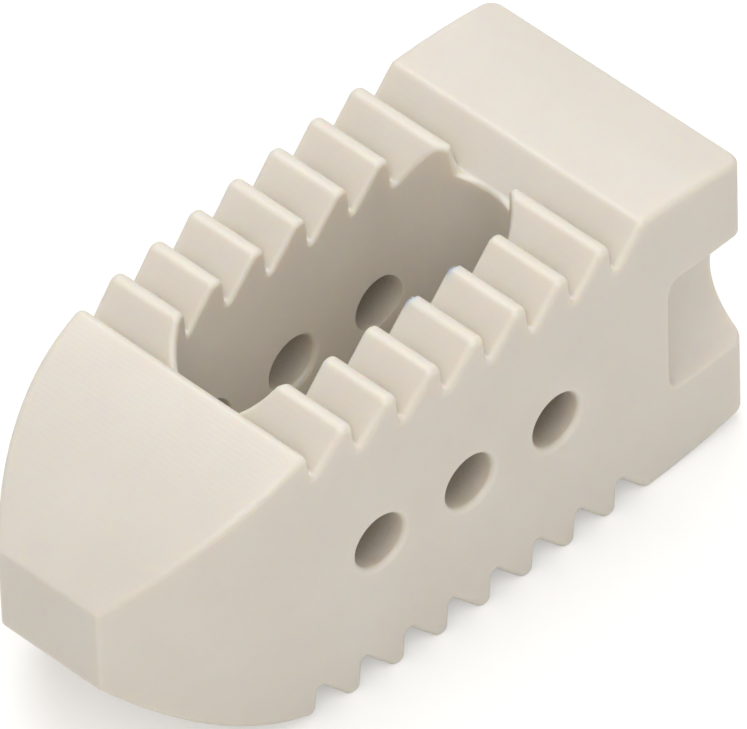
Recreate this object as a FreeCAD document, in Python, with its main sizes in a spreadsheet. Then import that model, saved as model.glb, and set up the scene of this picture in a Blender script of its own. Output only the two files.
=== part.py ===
"""Spinal interbody cage, one piece of implant grade polymer with a bullet nose.

Frame: X runs from the nose at -X to the rear face at +X, Y is the width and Z is up.
The origin is under the middle of the cage, level with the tips of the lower teeth.
Sizes are in millimetres. Inside the body Z is counted from mid height, because top and bottom are alike.
"""
import FreeCAD, Part
import math
import os
import Sketcher
from FreeCAD import Vector

DRIVING_SIZES = {
    # Whole cage
    "cage_length": 22.0,
    "cage_width": 9.45,
    "cage_height": 10.0,
    # Teeth, alike above and below
    "groove_count": 8,
    "tooth_pitch": 1.59,
    "first_crest": 5.5,
    "tooth_depth": 1.03,
    "steep_run": 0.06,
    "crest_radius": 0.25,
    "crest_land": 0.06,
    "valley_radius": 0.10,
    # Bullet nose
    "nose_face_height": 2.8,
    "nose_face_width": 3.7,
    "nose_ramp_length": 6.05,
    "nose_ramp_radius": 13.5,
    "nose_cheek_radius": 8.0,
    "flank_radius": 140.0,
    "flank_taper_length": 17.0,
    # Rear block
    "rear_taper_length": 3.7,
    "rear_taper_drop": 0.35,
    "rear_corner_radius": 0.45,
    # Graft window
    "window_front": 5.9,
    "window_length": 11.07,
    "window_width": 4.1,
    # Cross holes through both side walls
    "cross_hole_count": 3,
    "cross_hole_radius": 0.87,
    "cross_hole_spacing": 3.26,
    "first_cross_hole": 8.15,
    # Inserter grooves in both flanks
    "grip_length": 2.95,
    "grip_radius": 2.25,
    "grip_depth": 1.25,
    "grip_corner_radius": 0.4,
    # Inserter thread in the rear face
    "thread_radius": 2.0,
    "thread_depth": 4.0,
    "thread_mouth_chamfer": 0.25,
    # Softened edges
    "edge_radius": 0.22,
    "window_rim_radius": 0.15,
    "hole_rim_radius": 0.16,
    "grip_rim_radius": 0.15,
}

# How far a cutting outline runs past the surface that it opens
CUT_MARGIN = 1.0
# Places closer than this are the same place
SAME_PLACE = 1e-6
# How far rounding may move an edge off the outline that it came from
EDGE_SLACK = 0.02
# Faces that meet at a smaller angle than this, in radians, run on smoothly
SMOOTH_ANGLE = 0.02
# Sine and cosine of 45 degrees
DIAGONAL = math.sqrt(0.5)

# Names of a sketch edge's points, and of the origin point, in sketch constraints
START = 1
END = 2
CENTRE = 3
ORIGIN = (-1, 1)
LEVEL_AXIS = -1

doc = FreeCAD.newDocument("spinal_cage")
sheet = doc.addObject("Spreadsheet::Sheet", "Sizes")
for row, (alias, value) in enumerate(DRIVING_SIZES.items(), start=1):
    sheet.set(f"A{row}", alias)
    sheet.set(f"B{row}", str(value))
    sheet.setAlias(f"B{row}", alias)
doc.recompute()

body = doc.addObject("PartDesign::Body", "CageBody")
body.Label = "cage_body"
body.setExpression("Placement.Base.z", "Sizes.cage_height / 2")
doc.recompute()
built = []


def size(alias):
    """Return one driving size from the sheet."""
    return float(sheet.get(alias))


def origin_plane(role):
    """Return the body's own origin plane or axis of the given role."""
    return next(plane for plane in body.Origin.OriginFeatures if plane.Role == role)


def new_sketch(name, role, offset=None):
    """Start a sketch on one of the body's origin planes, moved along its normal by an expression."""
    sketch = body.newObject("Sketcher::SketchObject", name)
    sketch.AttachmentSupport = [(origin_plane(role), "")]
    sketch.MapMode = "FlatFace"
    sketch.Visibility = False
    if offset is not None:
        sketch.setExpression("AttachmentOffset.Base.z", offset)
    return sketch


def add_feature(kind, name, settings, expressions):
    """Add a feature at the body's tip, give it its settings and expressions and recompute."""
    feature = body.newObject(kind, name)
    for setting, value in settings.items():
        setattr(feature, setting, value)
    for setting, expression in expressions.items():
        feature.setExpression(setting, expression)
    body.Tip = feature
    doc.recompute()
    built.append(feature)
    return feature


def cut_both_ways(name, sketch):
    """Cut a sketch right through the body on both sides of its plane."""
    settings = {"Profile": sketch, "SideType": "Symmetric", "Type": "ThroughAll"}
    return add_feature("PartDesign::Pocket", name, settings, {})


def mirror(name, feature, role):
    """Repeat one feature on the other side of an origin plane."""
    settings = {"Originals": [feature], "MirrorPlane": (origin_plane(role), [""])}
    return add_feature("PartDesign::Mirrored", name, settings, {})


def round_edges(name, finder, radius):
    """Round the edges that a function finds on the body as it stands."""
    base = body.Tip
    settings = {"Base": (base, finder(base.Shape))}
    return add_feature("PartDesign::Fillet", name, settings, {"Radius": radius})


class Outline:
    """Draw lines and arcs in a sketch and tie them to expressions of the sheet."""

    def __init__(self, sketch):
        self.sketch = sketch

    def line(self, start, end):
        """Add a straight edge and return its index."""
        return self.sketch.addGeometry(Part.LineSegment(Vector(*start), Vector(*end)), False)

    def chain(self, points):
        """Add straight edges from point to point and join them."""
        edges = [self.line(start, end) for start, end in zip(points, points[1:])]
        for before, after in zip(edges, edges[1:]):
            self.join(before, END, after, START)
        return edges

    def arc(self, start, middle, end):
        """Add an anticlockwise arc through three points and return its index."""
        through = Part.Arc(Vector(*start), Vector(*middle), Vector(*end)).toShape().Curve
        centre = through.Center
        first, last = (math.atan2(point[1] - centre.y, point[0] - centre.x) for point in (start, end))
        if last < first:
            last += 2 * math.pi
        circle = Part.Circle(centre, Vector(0, 0, 1), through.Radius)
        return self.sketch.addGeometry(Part.ArcOfCircle(circle, first, last), False)

    def circle(self, centre, radius):
        """Add a full circle and return its index."""
        return self.sketch.addGeometry(Part.Circle(Vector(*centre), Vector(0, 0, 1), radius), False)

    def join(self, *ends):
        """Let two ends meet."""
        self.sketch.addConstraint(Sketcher.Constraint("Coincident", *ends))

    def tie(self, *parts):
        """Add a constraint without a size."""
        self.sketch.addConstraint(Sketcher.Constraint(*parts))

    def bind(self, name, expression, *parts):
        """Add a constraint whose value follows an expression."""
        index = self.sketch.addConstraint(Sketcher.Constraint(*parts))
        self.sketch.renameConstraint(index, name)
        self.sketch.setExpression(f"Constraints.{name}", expression)


def draw_side_outline(sketch):
    """Draw the bullet nose, the flat top and bottom and the tapered rear as seen from the side."""
    length = size("cage_length")
    half_height = size("cage_height") / 2
    front = -length / 2
    rear = length / 2
    nose_top = size("nose_face_height") / 2
    ramp_end = front + size("nose_ramp_length")
    taper_start = rear - size("rear_taper_length")
    rear_top = half_height - size("rear_taper_drop")
    bulge = (front * 0.75, half_height * 0.75)
    taper_middle = ((taper_start + rear) / 2, half_height - size("rear_taper_drop") / 4)

    outline = Outline(sketch)
    upper_ramp = outline.arc((ramp_end, half_height), bulge, (front, nose_top))
    nose_face = outline.line((front, nose_top), (front, -nose_top))
    lower_ramp = outline.arc((front, -nose_top), (bulge[0], -bulge[1]), (ramp_end, -half_height))
    lower_flat = outline.line((ramp_end, -half_height), (taper_start, -half_height))
    lower_taper = outline.arc((taper_start, -half_height), (taper_middle[0], -taper_middle[1]),
                              (rear, -rear_top))
    rear_face = outline.line((rear, -rear_top), (rear, rear_top))
    upper_taper = outline.arc((rear, rear_top), taper_middle, (taper_start, half_height))
    upper_flat = outline.line((taper_start, half_height), (ramp_end, half_height))
    outline.join(upper_ramp, END, nose_face, START)
    outline.join(nose_face, END, lower_ramp, START)
    outline.join(lower_ramp, END, lower_flat, START)
    outline.tie("Tangent", lower_flat, END, lower_taper, START)
    outline.join(lower_taper, END, rear_face, START)
    outline.join(rear_face, END, upper_taper, START)
    outline.tie("Tangent", upper_taper, END, upper_flat, START)
    outline.join(upper_flat, END, upper_ramp, START)

    outline.tie("Horizontal", upper_flat)
    outline.tie("Symmetric", nose_face, START, nose_face, END, LEVEL_AXIS)
    outline.tie("Symmetric", upper_ramp, START, lower_ramp, END, LEVEL_AXIS)
    outline.tie("Symmetric", upper_taper, END, lower_taper, START, LEVEL_AXIS)
    outline.tie("Symmetric", rear_face, START, rear_face, END, LEVEL_AXIS)

    outline.bind("front", "-Sizes.cage_length / 2", "DistanceX", *ORIGIN, nose_face, START, front)
    outline.bind("rear", "Sizes.cage_length / 2", "DistanceX", *ORIGIN, rear_face, END, rear)
    outline.bind("top", "Sizes.cage_height / 2", "DistanceY", *ORIGIN, upper_ramp, START, half_height)
    outline.bind("nose_face", "Sizes.nose_face_height", "DistanceY", nose_face, END, nose_face, START,
                 2 * nose_top)
    outline.bind("ramp_length", "Sizes.nose_ramp_length", "DistanceX", nose_face, START, upper_ramp, START,
                 ramp_end - front)
    outline.bind("upper_bulge", "Sizes.nose_ramp_radius", "Radius", upper_ramp, size("nose_ramp_radius"))
    outline.bind("lower_bulge", "Sizes.nose_ramp_radius", "Radius", lower_ramp, size("nose_ramp_radius"))
    outline.bind("taper_length", "Sizes.rear_taper_length", "DistanceX", upper_taper, END,
                 upper_taper, START, rear - taper_start)
    outline.bind("taper_drop", "Sizes.rear_taper_drop", "DistanceY", upper_taper, START,
                 upper_taper, END, half_height - rear_top)


def draw_flank_waste(sketch):
    """Draw what is cut away beside the nose, the tapered flank and one rounded rear corner."""
    front = -size("cage_length") / 2
    rear = size("cage_length") / 2
    flank = size("cage_width") / 2
    nose_side = size("nose_face_width") / 2
    corner = size("rear_corner_radius")
    cheek_end = (front + size("nose_face_width") * 1.2, flank * 0.9)
    straight_start = (front + size("flank_taper_length"), flank)
    cheek_middle = ((front + cheek_end[0]) / 2, flank * 0.75)
    taper_middle = ((cheek_end[0] + straight_start[0]) / 2, flank * 0.97)
    corner_middle = (rear - corner * 0.3, flank - corner * 0.3)

    outline = Outline(sketch)
    corner_arc = outline.arc((rear, flank - corner), corner_middle, (rear - corner, flank))
    straight = outline.line((rear - corner, flank), straight_start)
    taper_arc = outline.arc(straight_start, taper_middle, cheek_end)
    cheek_arc = outline.arc(cheek_end, cheek_middle, (front, nose_side))
    in_front, ahead, beside, behind, at_rear = outline.chain([
        (front, nose_side),
        (front - CUT_MARGIN, nose_side),
        (front - CUT_MARGIN, flank + CUT_MARGIN),
        (rear + CUT_MARGIN, flank + CUT_MARGIN),
        (rear + CUT_MARGIN, flank - corner),
        (rear, flank - corner),
    ])
    outline.tie("Tangent", corner_arc, END, straight, START)
    outline.tie("Tangent", straight, END, taper_arc, START)
    outline.tie("Tangent", taper_arc, END, cheek_arc, START)
    outline.join(cheek_arc, END, in_front, START)
    outline.join(at_rear, END, corner_arc, START)
    for level in (straight, in_front, beside, at_rear):
        outline.tie("Horizontal", level)
    for upright in (ahead, behind):
        outline.tie("Vertical", upright)
    outline.tie("Horizontal", corner_arc, START, corner_arc, CENTRE)

    outline.bind("front", "-Sizes.cage_length / 2", "DistanceX", *ORIGIN, cheek_arc, END, front)
    outline.bind("nose_side", "Sizes.nose_face_width / 2", "DistanceY", *ORIGIN, cheek_arc, END, nose_side)
    outline.bind("rear", "Sizes.cage_length / 2", "DistanceX", *ORIGIN, corner_arc, START, rear)
    outline.bind("flank", "Sizes.cage_width / 2", "DistanceY", *ORIGIN, corner_arc, END, flank)
    outline.bind("corner", "Sizes.rear_corner_radius", "Radius", corner_arc, corner)
    outline.bind("cheek", "Sizes.nose_cheek_radius", "Radius", cheek_arc, size("nose_cheek_radius"))
    outline.bind("taper", "Sizes.flank_radius", "Radius", taper_arc, size("flank_radius"))
    outline.bind("taper_length", "Sizes.flank_taper_length", "DistanceX", cheek_arc, END,
                 taper_arc, START, size("flank_taper_length"))
    outline.tie("DistanceX", in_front, END, in_front, START, CUT_MARGIN)
    outline.tie("DistanceY", corner_arc, END, beside, START, CUT_MARGIN)
    outline.tie("DistanceX", at_rear, END, at_rear, START, CUT_MARGIN)


def draw_groove(sketch, groove_number):
    """Draw the groove between two teeth, a steep side towards the nose and a gentle side behind it.

    The first groove leaves the nose crest in front of it sharp, because the crest lies on the nose ramp.
    """
    top = size("cage_height") / 2
    crest = size("crest_radius")
    valley = size("valley_radius")
    crest_x = (-size("cage_length") / 2 + size("first_crest")
               + (groove_number - 1) * size("tooth_pitch"))
    valley_x = crest_x + crest + size("steep_run") + valley
    valley_z = top - size("tooth_depth") + valley
    next_x = crest_x + size("tooth_pitch") - size("crest_land")
    lid_z = top + CUT_MARGIN

    outline = Outline(sketch)
    bottom = outline.arc((valley_x - valley, valley_z),
                         (valley_x - valley * DIAGONAL, valley_z - valley * DIAGONAL),
                         (valley_x + valley * DIAGONAL, valley_z - valley * DIAGONAL))
    gentle_side = outline.line((valley_x + valley * DIAGONAL, valley_z - valley * DIAGONAL),
                               (next_x - crest * DIAGONAL, top - crest + crest * DIAGONAL))
    rear_crest = outline.arc((next_x, top),
                             (next_x - crest * DIAGONAL / 2, top - crest * 0.1),
                             (next_x - crest * DIAGONAL, top - crest + crest * DIAGONAL))
    rise = outline.line((next_x, top), (next_x, lid_z))
    if groove_number == 1:
        front_crest = outline.circle((crest_x, top - crest), crest)
        sketch.setConstruction(front_crest, True)
        steep_side = outline.line((crest_x + crest, lid_z), (valley_x - valley, valley_z))
        lid = outline.line((next_x, lid_z), (crest_x + crest, lid_z))
        outline.join(lid, END, steep_side, START)
        outline.tie("Tangent", front_crest, steep_side)
    else:
        front_crest = outline.arc((crest_x + crest, top - crest),
                                  (crest_x + crest * DIAGONAL, top - crest + crest * DIAGONAL),
                                  (crest_x, top))
        steep_side = outline.line((crest_x + crest, top - crest), (valley_x - valley, valley_z))
        lid, drop = outline.chain([(next_x, lid_z), (crest_x, lid_z), (crest_x, top)])
        outline.join(drop, END, front_crest, END)
        outline.tie("Tangent", front_crest, START, steep_side, START)
        outline.tie("Vertical", front_crest, END, front_crest, CENTRE)
        outline.tie("Vertical", drop)
    outline.join(rear_crest, START, rise, START)
    outline.join(rise, END, lid, START)
    outline.tie("Tangent", steep_side, END, bottom, START)
    outline.tie("Tangent", bottom, END, gentle_side, START)
    outline.tie("Tangent", gentle_side, END, rear_crest, END)
    outline.tie("Vertical", rear_crest, START, rear_crest, CENTRE)
    outline.tie("Vertical", rise)
    outline.tie("Horizontal", lid)
    outline.tie("DistanceY", rise, START, rise, END, CUT_MARGIN)

    outline.bind("crest_place", f"-Sizes.cage_length / 2 + Sizes.first_crest"
                 f" + {groove_number - 1} * Sizes.tooth_pitch", "DistanceX", *ORIGIN,
                 front_crest, CENTRE, crest_x)
    outline.bind("crest_level", "Sizes.cage_height / 2 - Sizes.crest_radius", "DistanceY", *ORIGIN,
                 front_crest, CENTRE, top - crest)
    outline.bind("next_level", "Sizes.cage_height / 2 - Sizes.crest_radius", "DistanceY", *ORIGIN,
                 rear_crest, CENTRE, top - crest)
    outline.bind("next_crest", "Sizes.tooth_pitch - Sizes.crest_land", "DistanceX", front_crest, CENTRE,
                 rear_crest, CENTRE, next_x - crest_x)
    outline.bind("front_rounding", "Sizes.crest_radius", "Radius", front_crest, crest)
    outline.bind("rear_rounding", "Sizes.crest_radius", "Radius", rear_crest, crest)
    outline.bind("bottom_rounding", "Sizes.valley_radius", "Radius", bottom, valley)
    outline.bind("steep_run", "Sizes.crest_radius + Sizes.steep_run + Sizes.valley_radius", "DistanceX",
                 front_crest, CENTRE, bottom, CENTRE, valley_x - crest_x)
    outline.bind("depth", "Sizes.tooth_depth - Sizes.crest_radius - Sizes.valley_radius", "DistanceY",
                 bottom, CENTRE, front_crest, CENTRE, top - crest - valley_z)


def draw_window(sketch):
    """Draw the graft window, straight along both sides and fully round at both ends."""
    half_width = size("window_width") / 2
    front_centre = -size("cage_length") / 2 + size("window_front") + half_width
    rear_centre = front_centre + size("window_length") - 2 * half_width
    outline = Outline(sketch)
    rear_end = outline.arc((rear_centre, -half_width), (rear_centre + half_width, 0),
                           (rear_centre, half_width))
    left_side = outline.line((rear_centre, half_width), (front_centre, half_width))
    front_end = outline.arc((front_centre, half_width), (front_centre - half_width, 0),
                            (front_centre, -half_width))
    right_side = outline.line((front_centre, -half_width), (rear_centre, -half_width))
    outline.tie("Tangent", rear_end, END, left_side, START)
    outline.tie("Tangent", left_side, END, front_end, START)
    outline.tie("Tangent", front_end, END, right_side, START)
    outline.tie("Tangent", right_side, END, rear_end, START)
    outline.tie("PointOnObject", front_end, CENTRE, LEVEL_AXIS)
    outline.tie("PointOnObject", rear_end, CENTRE, LEVEL_AXIS)
    outline.bind("front", "-Sizes.cage_length / 2 + Sizes.window_front + Sizes.window_width / 2",
                 "DistanceX", *ORIGIN, front_end, CENTRE, front_centre)
    outline.bind("straight", "Sizes.window_length - Sizes.window_width", "DistanceX",
                 front_end, CENTRE, rear_end, CENTRE, rear_centre - front_centre)
    for name, end in (("front_round", front_end), ("rear_round", rear_end)):
        outline.bind(name, "Sizes.window_width / 2", "Radius", end, half_width)


def draw_circle(sketch, across, radius_name, place=None):
    """Draw a circle on the level axis, at the origin unless an expression gives its place."""
    outline = Outline(sketch)
    round_edge = outline.circle((across, 0), size(radius_name))
    outline.bind("radius", f"Sizes.{radius_name}", "Radius", round_edge, size(radius_name))
    if place is None:
        outline.join(round_edge, CENTRE, *ORIGIN)
    else:
        outline.bind("across", place, "DistanceX", *ORIGIN, round_edge, CENTRE, across)
        outline.tie("PointOnObject", round_edge, CENTRE, LEVEL_AXIS)


def run_length(edge, axis):
    """Return how far an edge reaches along one axis."""
    return getattr(edge.BoundBox, axis + "Length")


def is_smooth(shape, edge):
    """Tell whether the two faces at an edge run on into each other."""
    faces = shape.ancestorsOfType(edge, Part.Face)
    middle = edge.valueAt((edge.FirstParameter + edge.LastParameter) / 2)
    normals = [face.normalAt(*face.Surface.parameter(middle)) for face in faces]
    return len(normals) == 2 and normals[0].getAngle(normals[1]) < SMOOTH_ANGLE


def edges_where(shape, wanted):
    """Name the edges of a shape that a test accepts."""
    return [f"Edge{number}" for number, edge in enumerate(shape.Edges, start=1) if wanted(edge)]


def nose_crest_edges(shape):
    """Find the edges where the nose ramps end at the first grooves, the foremost sharp ones across the teeth."""
    half_length = size("cage_length") / 2

    def crosses(edge):
        across = run_length(edge, "X") < SAME_PLACE and run_length(edge, "Z") < SAME_PLACE
        at_end = abs(abs(edge.CenterOfMass.x) - half_length) < SAME_PLACE
        return across and not at_end and not is_smooth(shape, edge)

    foremost = min(edge.CenterOfMass.x for edge in shape.Edges if crosses(edge))
    return edges_where(shape, lambda edge: crosses(edge) and edge.CenterOfMass.x < foremost + SAME_PLACE)


def side_rim_edges(shape):
    """Find the edges that run round both flanks and the edges of the front and rear faces."""
    half_length = size("cage_length") / 2

    def wanted(edge):
        at_end = abs(abs(edge.CenterOfMass.x) - half_length) < SAME_PLACE
        return run_length(edge, "X") > SAME_PLACE or at_end

    return edges_where(shape, wanted)


def window_rim_edges(shape):
    """Find the edges where the window walls meet the top and bottom."""
    left = -size("cage_length") / 2 + size("window_front")
    right = left + size("window_length")
    side = size("window_width") / 2

    def wanted(edge):
        box = edge.BoundBox
        inside = (box.XMin > left - EDGE_SLACK and box.XMax < right + EDGE_SLACK
                  and box.YMin > -side - EDGE_SLACK and box.YMax < side + EDGE_SLACK)
        return inside and box.ZLength < size("cage_height") / 2

    return edges_where(shape, wanted)


def cross_hole_rim_edges(shape):
    """Find the round edges of the cross holes, which no other edge matches in width and height."""
    across = 2 * size("cross_hole_radius")

    def wanted(edge):
        box = edge.BoundBox
        return abs(box.XLength - across) < EDGE_SLACK and abs(box.ZLength - across) < EDGE_SLACK

    return edges_where(shape, wanted)


def grip_floor_edges(shape):
    """Find the edges where the inserter grooves meet their end walls."""
    wall_x = size("cage_length") / 2 - size("grip_length")

    def wanted(edge):
        on_wall = abs(edge.CenterOfMass.x - wall_x) < SAME_PLACE and run_length(edge, "X") < SAME_PLACE
        return on_wall and run_length(edge, "Y") > EDGE_SLACK

    return edges_where(shape, wanted)


def grip_rim_edges(shape):
    """Find the edges where the inserter grooves open into the flanks and the rear face."""
    flank = size("cage_width") / 2
    rear = size("cage_length") / 2
    front = rear - size("grip_length")
    radius = size("grip_radius")

    def wanted(edge):
        box = edge.BoundBox
        reach = max(abs(box.ZMin), abs(box.ZMax))
        near = box.XMin > front - EDGE_SLACK and reach < radius and box.ZLength < 2 * radius
        outside = abs(edge.CenterOfMass.y) > flank - size("grip_depth")
        on_flank = abs(abs(edge.CenterOfMass.y) - flank) < size("rear_corner_radius")
        on_rear = abs(edge.CenterOfMass.x - rear) < SAME_PLACE
        return near and outside and (on_rear or on_flank) and not is_smooth(shape, edge)

    return edges_where(shape, wanted)


def bore_mouth_edges(shape):
    """Find the mouth of the inserter thread."""
    rear = size("cage_length") / 2
    across = 2 * size("thread_radius")

    def wanted(edge):
        return (abs(edge.CenterOfMass.x - rear) < SAME_PLACE
                and abs(run_length(edge, "Y") - across) < EDGE_SLACK)

    return edges_where(shape, wanted)


# Blank with its bullet nose, seen from the side and then from above
side_sketch = new_sketch("SideOutline", "XZ_Plane")
draw_side_outline(side_sketch)
add_feature("PartDesign::Pad", "Block", {"Profile": side_sketch, "SideType": "Symmetric"},
            {"Length": "Sizes.cage_width"})
flank_sketch = new_sketch("FlankWaste", "XY_Plane")
draw_flank_waste(flank_sketch)
mirror("FlankMirror", cut_both_ways("FlankCut", flank_sketch), "XZ_Plane")

# Teeth
first_groove_sketch = new_sketch("FirstGrooveOutline", "XZ_Plane")
draw_groove(first_groove_sketch, 1)
mirror("FirstGrooves", cut_both_ways("FirstGroove", first_groove_sketch), "XY_Plane")
groove_sketch = new_sketch("GrooveOutline", "XZ_Plane")
draw_groove(groove_sketch, 2)
groove = cut_both_ways("Groove", groove_sketch)
groove_row = body.newObject("PartDesign::LinearPattern", "GrooveRow")
groove_row.Direction = (origin_plane("X_Axis"), [""])
groove_row.Mode = "Spacing"
groove_row.setExpression("Offset", "Sizes.tooth_pitch")
groove_row.setExpression("Occurrences", "Sizes.groove_count - 1")
lower_grooves = body.newObject("PartDesign::Mirrored", "LowerGrooves")
lower_grooves.MirrorPlane = (origin_plane("XY_Plane"), [""])
add_feature("PartDesign::MultiTransform", "AllGrooves",
            {"Originals": [groove], "Transformations": [groove_row, lower_grooves]}, {})
round_edges("NoseCrests", nose_crest_edges, "Sizes.crest_radius")
round_edges("SideRims", side_rim_edges, "Sizes.edge_radius")

# Graft window
window_sketch = new_sketch("WindowOutline", "XY_Plane")
draw_window(window_sketch)
cut_both_ways("GraftWindow", window_sketch)
round_edges("WindowRims", window_rim_edges, "Sizes.window_rim_radius")

# Cross holes
hole_sketch = new_sketch("CrossHoleOutline", "XZ_Plane")
draw_circle(hole_sketch, -size("cage_length") / 2 + size("first_cross_hole"), "cross_hole_radius",
            "-Sizes.cage_length / 2 + Sizes.first_cross_hole")
cross_hole = cut_both_ways("CrossHole", hole_sketch)
add_feature("PartDesign::LinearPattern", "CrossHoles",
            {"Originals": [cross_hole], "Direction": (origin_plane("X_Axis"), [""]), "Mode": "Spacing"},
            {"Offset": "Sizes.cross_hole_spacing", "Occurrences": "Sizes.cross_hole_count"})
round_edges("CrossHoleRims", cross_hole_rim_edges, "Sizes.hole_rim_radius")

# Inserter grooves and thread at the rear
grip_sketch = new_sketch("GripOutline", "YZ_Plane", "Sizes.cage_length / 2")
draw_circle(grip_sketch, size("cage_width") / 2 + size("grip_radius") - size("grip_depth"),
            "grip_radius", "Sizes.cage_width / 2 + Sizes.grip_radius - Sizes.grip_depth")
grip = add_feature("PartDesign::Pocket", "Grip", {"Profile": grip_sketch}, {"Length": "Sizes.grip_length"})
mirror("Grips", grip, "XZ_Plane")
round_edges("GripFloors", grip_floor_edges, "Sizes.grip_corner_radius")
round_edges("GripRims", grip_rim_edges, "Sizes.grip_rim_radius")
bore_sketch = new_sketch("BoreOutline", "YZ_Plane", "Sizes.cage_length / 2")
draw_circle(bore_sketch, 0, "thread_radius")
bore = add_feature("PartDesign::Pocket", "InserterBore", {"Profile": bore_sketch},
                   {"Length": "Sizes.thread_depth"})
add_feature("PartDesign::Chamfer", "BoreMouth", {"Base": (bore, bore_mouth_edges(bore.Shape))},
            {"Size": "Sizes.thread_mouth_chamfer"})

# Nothing is written unless every feature and the finished solid are sound
for item in doc.Objects:
    if {"Invalid", "Error"} & set(item.State):
        raise RuntimeError(f"{item.Label} did not build: {item.State}")
for feature in built:
    if feature.Shape.isNull():
        raise RuntimeError(f"{feature.Label} has no shape")
if not body.Shape.isValid() or len(body.Shape.Solids) != 1:
    raise RuntimeError(f"{body.Label} is not one sound solid")
os.makedirs("parts", exist_ok=True)
body.Shape.exportStep(f"parts/{body.Label}.step")
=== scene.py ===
"""Spinal interbody cage of natural PEEK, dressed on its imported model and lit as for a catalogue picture."""

import logging
import math
from dataclasses import dataclass, field
from enum import Enum
from typing import Any

import bmesh
import bpy
from mathutils import Matrix, Vector


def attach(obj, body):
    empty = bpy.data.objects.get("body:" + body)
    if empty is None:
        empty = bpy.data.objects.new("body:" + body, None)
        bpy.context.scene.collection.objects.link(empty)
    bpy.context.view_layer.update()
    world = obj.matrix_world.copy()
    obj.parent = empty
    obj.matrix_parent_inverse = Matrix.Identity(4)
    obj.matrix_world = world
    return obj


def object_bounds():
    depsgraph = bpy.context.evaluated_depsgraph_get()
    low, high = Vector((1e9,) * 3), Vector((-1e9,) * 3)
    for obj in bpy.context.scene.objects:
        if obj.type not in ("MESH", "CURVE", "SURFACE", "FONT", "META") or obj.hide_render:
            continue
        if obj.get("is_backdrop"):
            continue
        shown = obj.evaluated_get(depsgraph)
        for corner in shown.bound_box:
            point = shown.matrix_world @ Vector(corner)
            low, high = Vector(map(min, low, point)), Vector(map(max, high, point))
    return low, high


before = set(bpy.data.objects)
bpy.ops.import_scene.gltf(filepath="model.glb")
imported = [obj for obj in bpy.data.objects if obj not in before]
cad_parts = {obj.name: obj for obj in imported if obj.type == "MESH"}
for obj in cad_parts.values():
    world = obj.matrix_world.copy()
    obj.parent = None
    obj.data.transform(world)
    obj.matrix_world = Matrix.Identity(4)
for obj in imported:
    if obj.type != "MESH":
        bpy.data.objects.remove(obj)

LOG = logging.getLogger("cage")
MM = 0.001
PHOTO_WIDTH = 747
# Width of one band of a wave texture whose scale is 1
WAVE_BAND = math.pi / 10

Colour = tuple[float, float, float, float]


class Part(Enum):
    """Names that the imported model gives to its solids, bodies and finishes."""

    CAGE = "cage_body"
    BODY = "root"
    POLYMER = "peek"


class Ray(Enum):
    """Kinds of ray for which a surface shows its plain backdrop colour."""

    CAMERA = "Is Camera Ray"
    GLOSSY = "Is Glossy Ray"
    TRANSMITTED = "Is Transmission Ray"


def linear(hex_colour: str) -> Colour:
    """Turn an sRGB hex colour into linear light.

    Args:
        hex_colour: Six hex digits after a hash sign.

    Returns:
        Linear red, green and blue, with full alpha.
    """
    shares = [int(hex_colour[start : start + 2], 16) / 255 for start in (1, 3, 5)]
    red, green, blue = (
        share / 12.92 if share <= 0.04045 else ((share + 0.055) / 1.055) ** 2.4 for share in shares
    )
    return red, green, blue, 1.0


def add_node(
    tree: bpy.types.NodeTree,
    kind: str,
    settings: dict[str, Any] | None = None,
    links: dict[str | int, bpy.types.NodeSocket] | None = None,
) -> bpy.types.Node:
    """Add a node with its settings and links.

    Args:
        tree: The tree that the node goes into.
        kind: The node's type name.
        settings: Values by input name, or by property name where no input has it.
        links: Output sockets by the name or number of the input that each feeds.

    Returns:
        The new node.
    """
    node = tree.nodes.new(kind)
    for name, value in (settings or {}).items():
        if hasattr(node, name):
            setattr(node, name, value)
        else:
            node.inputs[name].default_value = value
    for name, socket in (links or {}).items():
        tree.links.new(socket, node.inputs[name])
    return node


def blank_material(name: str) -> bpy.types.Material:
    """Return a new material whose node tree is empty."""
    material = bpy.data.materials.new(name)
    material.use_nodes = True
    material.node_tree.nodes.clear()
    return material


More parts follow.
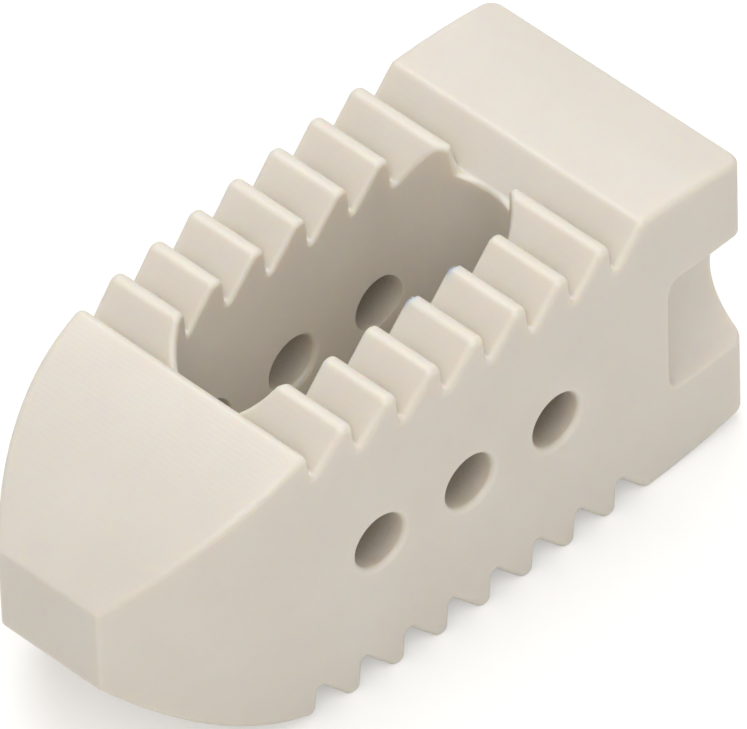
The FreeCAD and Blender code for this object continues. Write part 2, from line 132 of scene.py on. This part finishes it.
@dataclass(frozen=True)
class MilledPeek:
    """PEEK, an ivory implant polymer, milled from bar and blasted to an even satin.

    The polymer is slightly cloudy: light sinks in about half a millimetre and comes out
    warmer, so thin teeth glow at their edges. Drilled holes and other hollows carry
    painted shade: an occlusion test mixes their colour towards brown.
    """

    name: str = "milled_peek"
    pale: str = "#EAE4DA"
    deep: str = "#E2DACD"
    ior: float = 1.67
    satin_low: float = 0.34
    satin_high: float = 0.46
    cloud_size: float = 2.6 * MM
    grit_size: float = 0.05 * MM
    cutter_step: float = 0.14 * MM
    sink_depth: float = 0.5 * MM
    sink_colours: tuple[float, float, float] = (1.0, 0.72, 0.42)
    # Painted shade: the brown colour for hollows, with the occlusion reach and the occlusion levels over
    # which it fades in.
    painted_shade: str = "#6A5632"
    painted_shade_reach: float = 3.0 * MM
    painted_shade_shut: float = 0.18
    painted_shade_open: float = 0.33

    def make(self) -> bpy.types.Material:
        """Build the polymer with its clouding, blasted grit, faint cutter lines and painted shade in its
        hollows.
        """
        material = blank_material(self.name)
        tree = material.node_tree
        place = add_node(tree, "ShaderNodeTexCoord").outputs["Object"]
        clouds = add_node(
            tree,
            "ShaderNodeTexNoise",
            {"Scale": 1 / self.cloud_size, "Detail": 3.0, "Roughness": 0.55},
            {"Vector": place},
        )
        colour = add_node(
            tree,
            "ShaderNodeMix",
            {"data_type": "RGBA", "clamp_factor": True},
            {"Factor": clouds.outputs["Fac"]},
        )
        colour.inputs[6].default_value = linear(self.deep)
        colour.inputs[7].default_value = linear(self.pale)
        # Painted shade: an ambient occlusion test finds holes, the valleys between teeth and other hollows,
        # and the colour there is mixed towards brown.
        openness = add_node(
            tree,
            "ShaderNodeAmbientOcclusion",
            {"samples": 8, "only_local": True, "Distance": self.painted_shade_reach},
        )
        painted_shade = add_node(
            tree,
            "ShaderNodeMapRange",
            {"From Min": self.painted_shade_shut, "From Max": self.painted_shade_open},
            {"Value": openness.outputs["AO"]},
        )
        colour_and_painted_shade = add_node(
            tree,
            "ShaderNodeMix",
            {"data_type": "RGBA", "clamp_factor": True},
            {"Factor": painted_shade.outputs["Result"], 7: colour.outputs[2]},
        )
        colour_and_painted_shade.inputs[6].default_value = linear(self.painted_shade)
        grit = add_node(
            tree,
            "ShaderNodeTexNoise",
            {"Scale": 1 / self.grit_size, "Detail": 2.0, "Roughness": 0.6},
            {"Vector": place},
        )
        satin = add_node(
            tree,
            "ShaderNodeMapRange",
            {"To Min": self.satin_low, "To Max": self.satin_high},
            {"Value": grit.outputs["Fac"]},
        )
        cutter = add_node(
            tree,
            "ShaderNodeTexWave",
            {
                "wave_type": "BANDS",
                "bands_direction": "X",
                "Scale": WAVE_BAND / self.cutter_step,
                "Distortion": 0.6,
                "Detail": 1.0,
            },
            {"Vector": place},
        )
        lines = add_node(
            tree,
            "ShaderNodeBump",
            {"Strength": 0.05, "Distance": 0.02 * MM},
            {"Height": cutter.outputs["Fac"]},
        )
        blast = add_node(
            tree,
            "ShaderNodeBump",
            {"Strength": 0.10, "Distance": 0.01 * MM},
            {"Height": grit.outputs["Fac"], "Normal": lines.outputs["Normal"]},
        )
        surface = add_node(
            tree,
            "ShaderNodeBsdfPrincipled",
            {
                "IOR": self.ior,
                "Subsurface Weight": 1.0,
                "Subsurface Radius": self.sink_colours,
                "Subsurface Scale": self.sink_depth,
            },
            {
                "Base Color": colour_and_painted_shade.outputs[2],
                "Roughness": satin.outputs["Result"],
                "Normal": blast.outputs["Normal"],
            },
        )
        add_node(
            tree,
            "ShaderNodeOutputMaterial",
            links={"Surface": surface.outputs["BSDF"]},
        )
        return material


@dataclass(frozen=True)
class StudioPaper:
    """Matte white paper sweep under the object. Its fibres are too fine to show."""

    name: str = "studio_paper"
    colour: str = "#F1F0EE"
    glow: float = 0.32

    def make(self) -> bpy.types.Material:
        """Build a matte white that reaches plain white where no shadow falls."""
        material = blank_material(self.name)
        tree = material.node_tree
        matte = add_node(tree, "ShaderNodeBsdfDiffuse", {"Color": linear(self.colour)})
        seen = add_node(tree, "ShaderNodeLightPath").outputs[Ray.CAMERA.value]
        strength = add_node(
            tree,
            "ShaderNodeMapRange",
            {"To Min": 0.0, "To Max": self.glow},
            {"Value": seen},
        )
        lit = add_node(tree, "ShaderNodeEmission", links={"Strength": strength.outputs["Result"]})
        both = add_node(
            tree,
            "ShaderNodeAddShader",
            links={0: matte.outputs[0], 1: lit.outputs[0]},
        )
        add_node(tree, "ShaderNodeOutputMaterial", links={"Surface": both.outputs[0]})
        return material


@dataclass
class CageSolid:
    """The milled body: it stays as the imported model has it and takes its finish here."""

    finish: MilledPeek = field(default_factory=MilledPeek)

    def dress(self) -> bpy.types.Material:
        """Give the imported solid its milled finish.

        Returns:
            The finish, for pieces cut from the same bar.
        """
        material = self.finish.make()
        solid = bpy.data.objects[Part.CAGE.value]
        for slot in solid.material_slots:
            slot.material = material
        LOG.info("%s dressed, %d faces", solid.name, len(solid.data.polygons))
        return material


@dataclass
class RearThread:
    """Ridges of the M4 thread in the rear hole, left standing in the plain bore."""

    bore_radius: float = 2.0 * MM
    ridge_height: float = 0.38 * MM
    pitch: float = 0.7 * MM
    root_width: float = 0.60 * MM
    tip_width: float = 0.10 * MM
    mouth_x: float = 10.70 * MM
    end_x: float = 7.25 * MM
    axis_z: float = 5.0 * MM
    sunk: float = 0.04 * MM
    steps_per_turn: int = 72
    fade_turns: float = 0.5

    def ridge_ring(self, turns: float, total: float) -> list[Vector]:
        """Return the ridge's cross-section at a point along the helix.

        Args:
            turns: Turns from the start of the ridge.
            total: Turns in the whole ridge.

        Returns:
            Four corners, from the root on one side to the root on the other.
        """
        ends = min(turns, total - turns) / self.fade_turns
        height = self.ridge_height * max(0.02, min(1.0, ends))
        centre = self.mouth_x - self.root_width / 2 - turns * self.pitch
        angle = 2 * math.pi * turns
        corners = []
        for reach, width in (
            (-self.sunk, self.root_width / 2),
            (height, self.tip_width / 2),
            (height, -self.tip_width / 2),
            (-self.sunk, -self.root_width / 2),
        ):
            radius = self.bore_radius - reach
            corners.append(
                Vector(
                    (
                        centre + width,
                        radius * math.cos(angle),
                        self.axis_z + radius * math.sin(angle),
                    )
                )
            )
        return corners

    def build(self, material: bpy.types.Material) -> bpy.types.Object:
        """Sweep the ridge down its helix.

        Args:
            material: The finish of the bar that the thread is cut in.

        Returns:
            The ridge as one closed piece.
        """
        length = self.mouth_x - self.end_x - self.root_width
        total = length / self.pitch
        steps = round(total * self.steps_per_turn)
        mesh = bmesh.new()
        rings = []
        for step in range(steps + 1):
            corners = self.ridge_ring(total * step / steps, total)
            rings.append([mesh.verts.new(corner) for corner in corners])
        for ahead, behind in zip(rings, rings[1:]):
            for side in range(len(ahead)):
                following = (side + 1) % len(ahead)
                mesh.faces.new((ahead[side], ahead[following], behind[following], behind[side]))
        mesh.faces.new(rings[0])
        mesh.faces.new(reversed(rings[-1]))
        bmesh.ops.recalc_face_normals(mesh, faces=mesh.faces)
        data = bpy.data.meshes.new("rear_thread_ridge")
        mesh.to_mesh(data)
        mesh.free()
        data.materials.append(material)
        piece = bpy.data.objects.new("rear_thread_ridge", data)
        bpy.context.collection.objects.link(piece)
        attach(piece, Part.BODY.value)
        LOG.info("%s built, %d faces", piece.name, len(data.polygons))
        return piece


@dataclass(frozen=True)
class SoftBox:
    """A square diffused lamp that faces the object."""

    name: str
    azimuth: float
    elevation: float
    distance: float
    width: float
    level: float
    colour: str = "#FFFFFF"

    def hang(self, target: Vector) -> bpy.types.Object:
        """Hang the lamp and turn it to the object.

        Args:
            target: The point that it faces.

        Returns:
            The lamp.
        """
        turn, rise = math.radians(self.azimuth), math.radians(self.elevation)
        away = Vector(
            (
                math.sin(turn) * math.cos(rise),
                -math.cos(turn) * math.cos(rise),
                math.sin(rise),
            )
        )
        data = bpy.data.lights.new(self.name, "AREA")
        data.shape = "SQUARE"
        data.size = self.width
        data.color = linear(self.colour)[:3]
        # At this power a facing surface shows its own colour times the lamp's level.
        data.energy = self.level * math.pi**2 * self.distance**2
        lamp = bpy.data.objects.new(self.name, data)
        lamp.location = target + away * self.distance
        lamp.rotation_mode = "QUATERNION"
        lamp.rotation_quaternion = away.to_track_quat("Z", "Y")
        lamp.visible_camera = False
        bpy.context.collection.objects.link(lamp)
        LOG.info("%s hung at level %.2f", lamp.name, self.level)
        return lamp


@dataclass
class Studio:
    """Paper sweep, soft lamps and an even white surround."""

    paper: StudioPaper = field(default_factory=StudioPaper)
    floor_width: float = 3.0
    surround_level: float = 0.38
    lamps: tuple[SoftBox, ...] = (
        SoftBox("overhead_box", azimuth=150, elevation=68, distance=0.20, width=0.16, level=0.42),
        SoftBox("front_box", azimuth=-36, elevation=50, distance=0.25, width=0.22, level=0.40),
    )

    def lay_floor(self) -> bpy.types.Object:
        """Lay the paper level with the tips of the lower teeth."""
        mesh = bmesh.new()
        bmesh.ops.create_grid(mesh, x_segments=1, y_segments=1, size=self.floor_width / 2)
        data = bpy.data.meshes.new("studio_floor")
        mesh.to_mesh(data)
        mesh.free()
        data.materials.append(self.paper.make())
        floor = bpy.data.objects.new("studio_floor", data)
        bpy.context.collection.objects.link(floor)
        floor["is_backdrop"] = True
        return floor

    def fill_surround(self) -> None:
        """Light the scene evenly, and show plain white behind it."""
        world = bpy.data.worlds.new("studio_surround")
        bpy.context.scene.world = world
        world.use_nodes = True
        tree = world.node_tree
        tree.nodes.clear()
        path = add_node(tree, "ShaderNodeLightPath")
        seen = path.outputs[Ray.CAMERA.value]
        for ray in (Ray.GLOSSY, Ray.TRANSMITTED):
            seen = add_node(
                tree,
                "ShaderNodeMath",
                {"operation": "MAXIMUM"},
                {0: seen, 1: path.outputs[ray.value]},
            ).outputs[0]
        strength = add_node(
            tree,
            "ShaderNodeMapRange",
            {"To Min": self.surround_level, "To Max": 1.0},
            {"Value": seen},
        )
        white = add_node(
            tree,
            "ShaderNodeBackground",
            {"Color": linear("#FFFFFF")},
            {"Strength": strength.outputs["Result"]},
        )
        add_node(tree, "ShaderNodeOutputWorld", links={"Surface": white.outputs[0]})

    def build(self, target: Vector) -> None:
        """Lay the floor, hang the lamps and set the surround.

        Args:
            target: The middle of the object.
        """
        self.lay_floor()
        self.fill_surround()
        for lamp in self.lamps:
            lamp.hang(target)


@dataclass
class PhotoCamera:
    """A long lens that looks down the nose from above and from the right."""

    azimuth: float = -44.462
    elevation: float = 44.252
    roll: float = -1.870
    distance: float = 501.2 * MM
    aim: tuple[float, float, float] = (1.8748 * MM, 0.4699 * MM, 5.0 * MM)
    pixels_per_mm: float = 37.048
    sensor_width: float = 36.0

    def place(self) -> bpy.types.Object:
        """Stand the camera and make it the scene's own."""
        turn, rise = math.radians(self.azimuth), math.radians(self.elevation)
        back = Vector(
            (
                math.sin(turn) * math.cos(rise),
                -math.cos(turn) * math.cos(rise),
                math.sin(rise),
            )
        )
        right = Vector((math.cos(turn), math.sin(turn), 0.0))
        up = back.cross(right)
        data = bpy.data.cameras.new("photo_camera")
        data.sensor_width = self.sensor_width
        data.lens = self.pixels_per_mm * self.distance / MM * self.sensor_width / PHOTO_WIDTH
        data.clip_start = self.distance / 10
        data.clip_end = self.distance * 20
        camera = bpy.data.objects.new("photo_camera", data)
        camera.rotation_mode = "QUATERNION"
        level = Matrix((right, up, back)).transposed().to_quaternion()
        roll = Matrix.Rotation(math.radians(self.roll), 3, back).to_quaternion()
        camera.rotation_quaternion = roll @ level
        camera.location = Vector(self.aim) + back * self.distance
        bpy.context.collection.objects.link(camera)
        bpy.context.scene.camera = camera
        LOG.info("camera %.1f mm, %.0f mm away", data.lens, self.distance / MM)
        return camera


def corners(box: tuple[Vector, Vector]) -> list[list[float]]:
    """Return a box's corners as plain lists."""
    return [list(corner) for corner in box]


def main() -> None:
    """Dress the cage, build its thread, and set the studio and camera round it."""
    logging.basicConfig(level=logging.INFO)
    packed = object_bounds()
    milled = CageSolid().dress()
    RearThread().build(milled)
    Studio().build((packed[0] + packed[1]) / 2)
    PhotoCamera().place()
    bpy.context.scene.view_settings.view_transform = "Standard"


if __name__ == "__main__":
    main()
